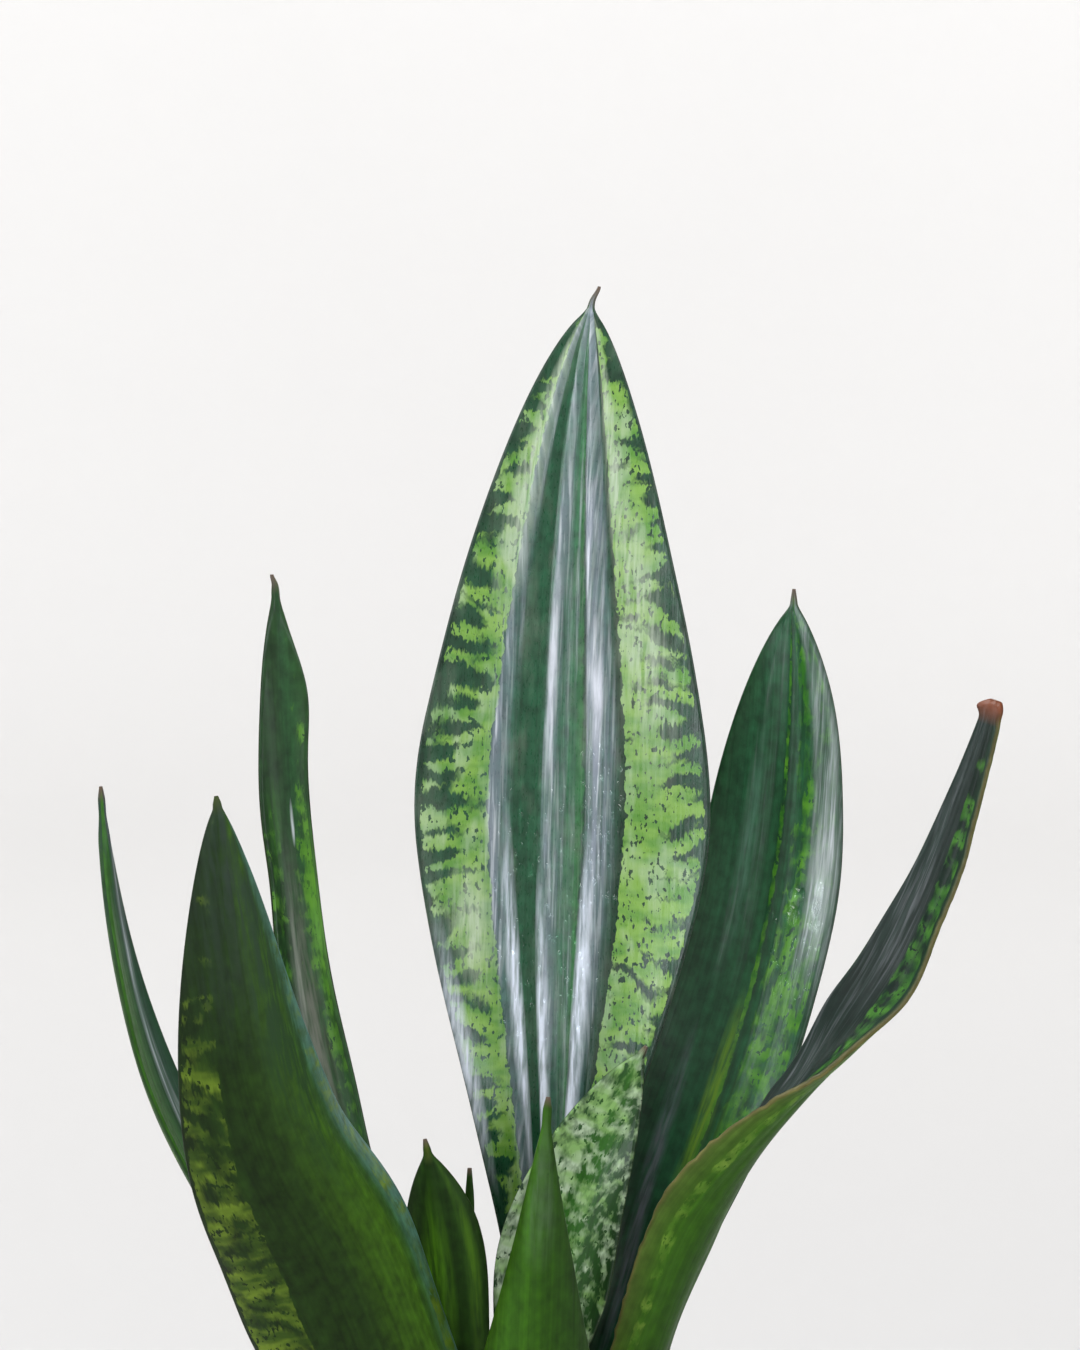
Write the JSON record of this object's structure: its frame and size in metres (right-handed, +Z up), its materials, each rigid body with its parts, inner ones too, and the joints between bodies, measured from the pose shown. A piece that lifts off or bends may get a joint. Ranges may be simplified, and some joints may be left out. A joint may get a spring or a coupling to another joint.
{
  "type": "potted snake plant",
  "caption": "Potted snake plant: stiff, channelled, cross-banded leaves rising in a clump from a plain tapered terracotta pot.",
  "frame": {"origin": "centre of the pot's underside, on the surface that the pot stands on", "axes": "+Z up along the leaves, -Y towards the plant's front, +X to the right seen from the front"},
  "size_m": [0.2246, 0.1392, 0.4491],
  "materials": {
    "terracotta": "unglazed fired clay, matte",
    "potting_mix": "moist bark and peat crumbs, matte",
    "rhizome": "fleshy root stock, satin",
    "leaf": "waxy leaf with pale margins and dark cross bands, satin"
  },
  "bodies": {
    "root": {"pot": "terracotta", "potting_mix": "potting_mix", "rhizome": "rhizome", "leaf_tall_back": "leaf", "leaf_right": "leaf", "leaf_twisted_right": "leaf", "leaf_front_left": "leaf", "leaf_narrow_left": "leaf", "leaf_far_left": "leaf", "leaf_small_inner": "leaf", "leaf_inner_spike": "leaf", "leaf_front_spear": "leaf", "leaf_young_mottled": "leaf"}
  },
  "joints": []
}
